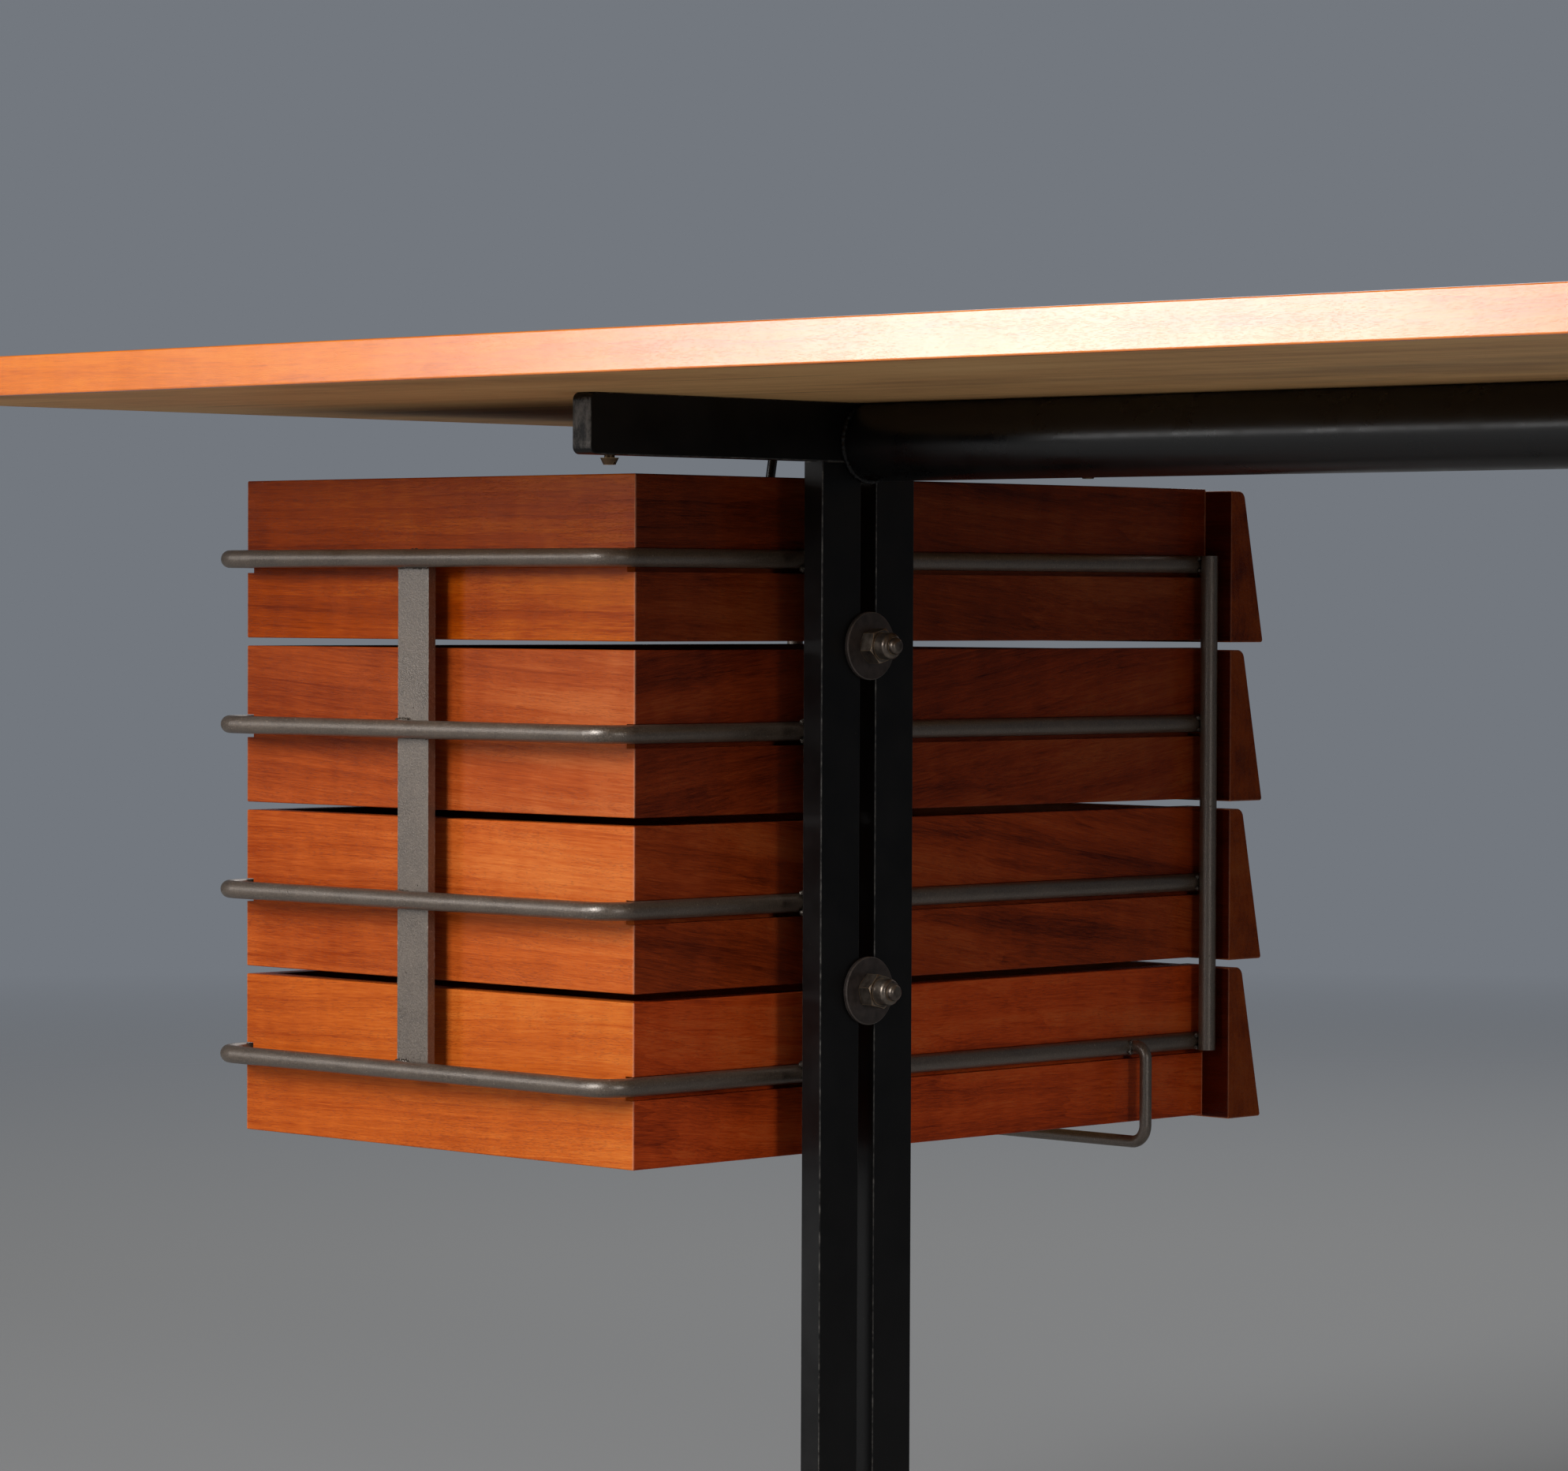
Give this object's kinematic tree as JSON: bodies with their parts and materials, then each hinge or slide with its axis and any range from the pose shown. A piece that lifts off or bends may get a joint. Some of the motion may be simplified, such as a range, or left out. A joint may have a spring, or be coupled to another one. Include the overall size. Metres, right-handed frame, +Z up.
{
  "type": "writing desk with hanging drawer basket",
  "caption": "Writing desk: veneered top on slotted steel T-legs joined by a tube, with a rod basket of sliding wedge-fronted drawers bolted to one post.",
  "frame": {"origin": "on the floor, under the middle of the tabletop", "axes": "+X to the sitter's right, where the drawers are; +Y to the back, away from the sitter; +Z up"},
  "size_m": [1.8, 0.73, 0.74],
  "materials": {
    "veneer": "reddish-brown hardwood veneer and lipping, satin lacquer",
    "plywood": "bare tan board with streaks and small dark specks",
    "drawer_wood": "red-brown hardwood with fine dark streaks, satin lacquer, edges worn lighter",
    "drawer_base": "thin bare plywood",
    "black_paint": "satin black stove enamel, worn bright along the arrises",
    "gunmetal_paint": "warm grey burnished enamel with speckled wear",
    "washer_steel": "dark oxidised steel",
    "nut_bronze": "aged brass, brown in the hollows and bright on the edges",
    "stud_steel": "turned steel",
    "screw_brass": "dull aged brass",
    "glide_plastic": "black moulded plastic, scuffed underneath"
  },
  "bodies": {
    "frame": {"tabletop_core": "plywood", "tabletop_veneer": "veneer", "lipping_front": "veneer", "lipping_rear": "veneer", "lipping_left": "veneer", "lipping_right": "veneer", "left_post_front_bar": "black_paint", "left_post_rear_bar": "black_paint", "left_arm": "black_paint", "left_foot": "black_paint", "left_front_glide": "glide_plastic", "left_rear_glide": "glide_plastic", "right_post_front_bar": "black_paint", "right_post_rear_bar": "black_paint", "right_arm": "black_paint", "right_foot": "black_paint", "right_front_glide": "glide_plastic", "right_rear_glide": "glide_plastic", "stretcher_tube": "black_paint", "tabletop_screws": "screw_brass", "runner_rod_1": "gunmetal_paint", "runner_rod_2": "gunmetal_paint", "runner_rod_3": "gunmetal_paint", "runner_rod_4": "gunmetal_paint", "rear_strap": "gunmetal_paint", "front_upright_inner": "gunmetal_paint", "front_upright_outer": "gunmetal_paint", "bottom_guard": "gunmetal_paint", "outer_stay": "gunmetal_paint", "stay_plate": "gunmetal_paint", "mounting_bar": "gunmetal_paint", "stud_spacers": "gunmetal_paint", "stay_screws": "stud_steel", "mounting_studs": "stud_steel", "stud_washers": "washer_steel", "dome_nuts": "nut_bronze"},
    "drawer_1": {"drawer_1_front": "drawer_wood", "drawer_1_left_side": "drawer_wood", "drawer_1_right_side": "drawer_wood", "drawer_1_back": "drawer_wood", "drawer_1_bottom": "drawer_base"},
    "drawer_2": {"drawer_2_front": "drawer_wood", "drawer_2_left_side": "drawer_wood", "drawer_2_right_side": "drawer_wood", "drawer_2_back": "drawer_wood", "drawer_2_bottom": "drawer_base"},
    "drawer_3": {"drawer_3_front": "drawer_wood", "drawer_3_left_side": "drawer_wood", "drawer_3_right_side": "drawer_wood", "drawer_3_back": "drawer_wood", "drawer_3_bottom": "drawer_base"},
    "drawer_4": {"drawer_4_front": "drawer_wood", "drawer_4_left_side": "drawer_wood", "drawer_4_right_side": "drawer_wood", "drawer_4_back": "drawer_wood", "drawer_4_bottom": "drawer_base"}
  },
  "joints": [
    {"name": "drawer_1_slide", "type": "slide", "parent": "frame", "child": "drawer_1", "axis": [0, -1, 0], "range_m": [-0.0035, 0.35]},
    {"name": "drawer_2_slide", "type": "slide", "parent": "frame", "child": "drawer_2", "axis": [0, -1, 0], "range_m": [-0.0035, 0.35]},
    {"name": "drawer_3_slide", "type": "slide", "parent": "frame", "child": "drawer_3", "axis": [0, -1, 0], "range_m": [-0.0035, 0.35]},
    {"name": "drawer_4_slide", "type": "slide", "parent": "frame", "child": "drawer_4", "axis": [0, -1, 0], "range_m": [-0.0035, 0.35]}
  ]
}
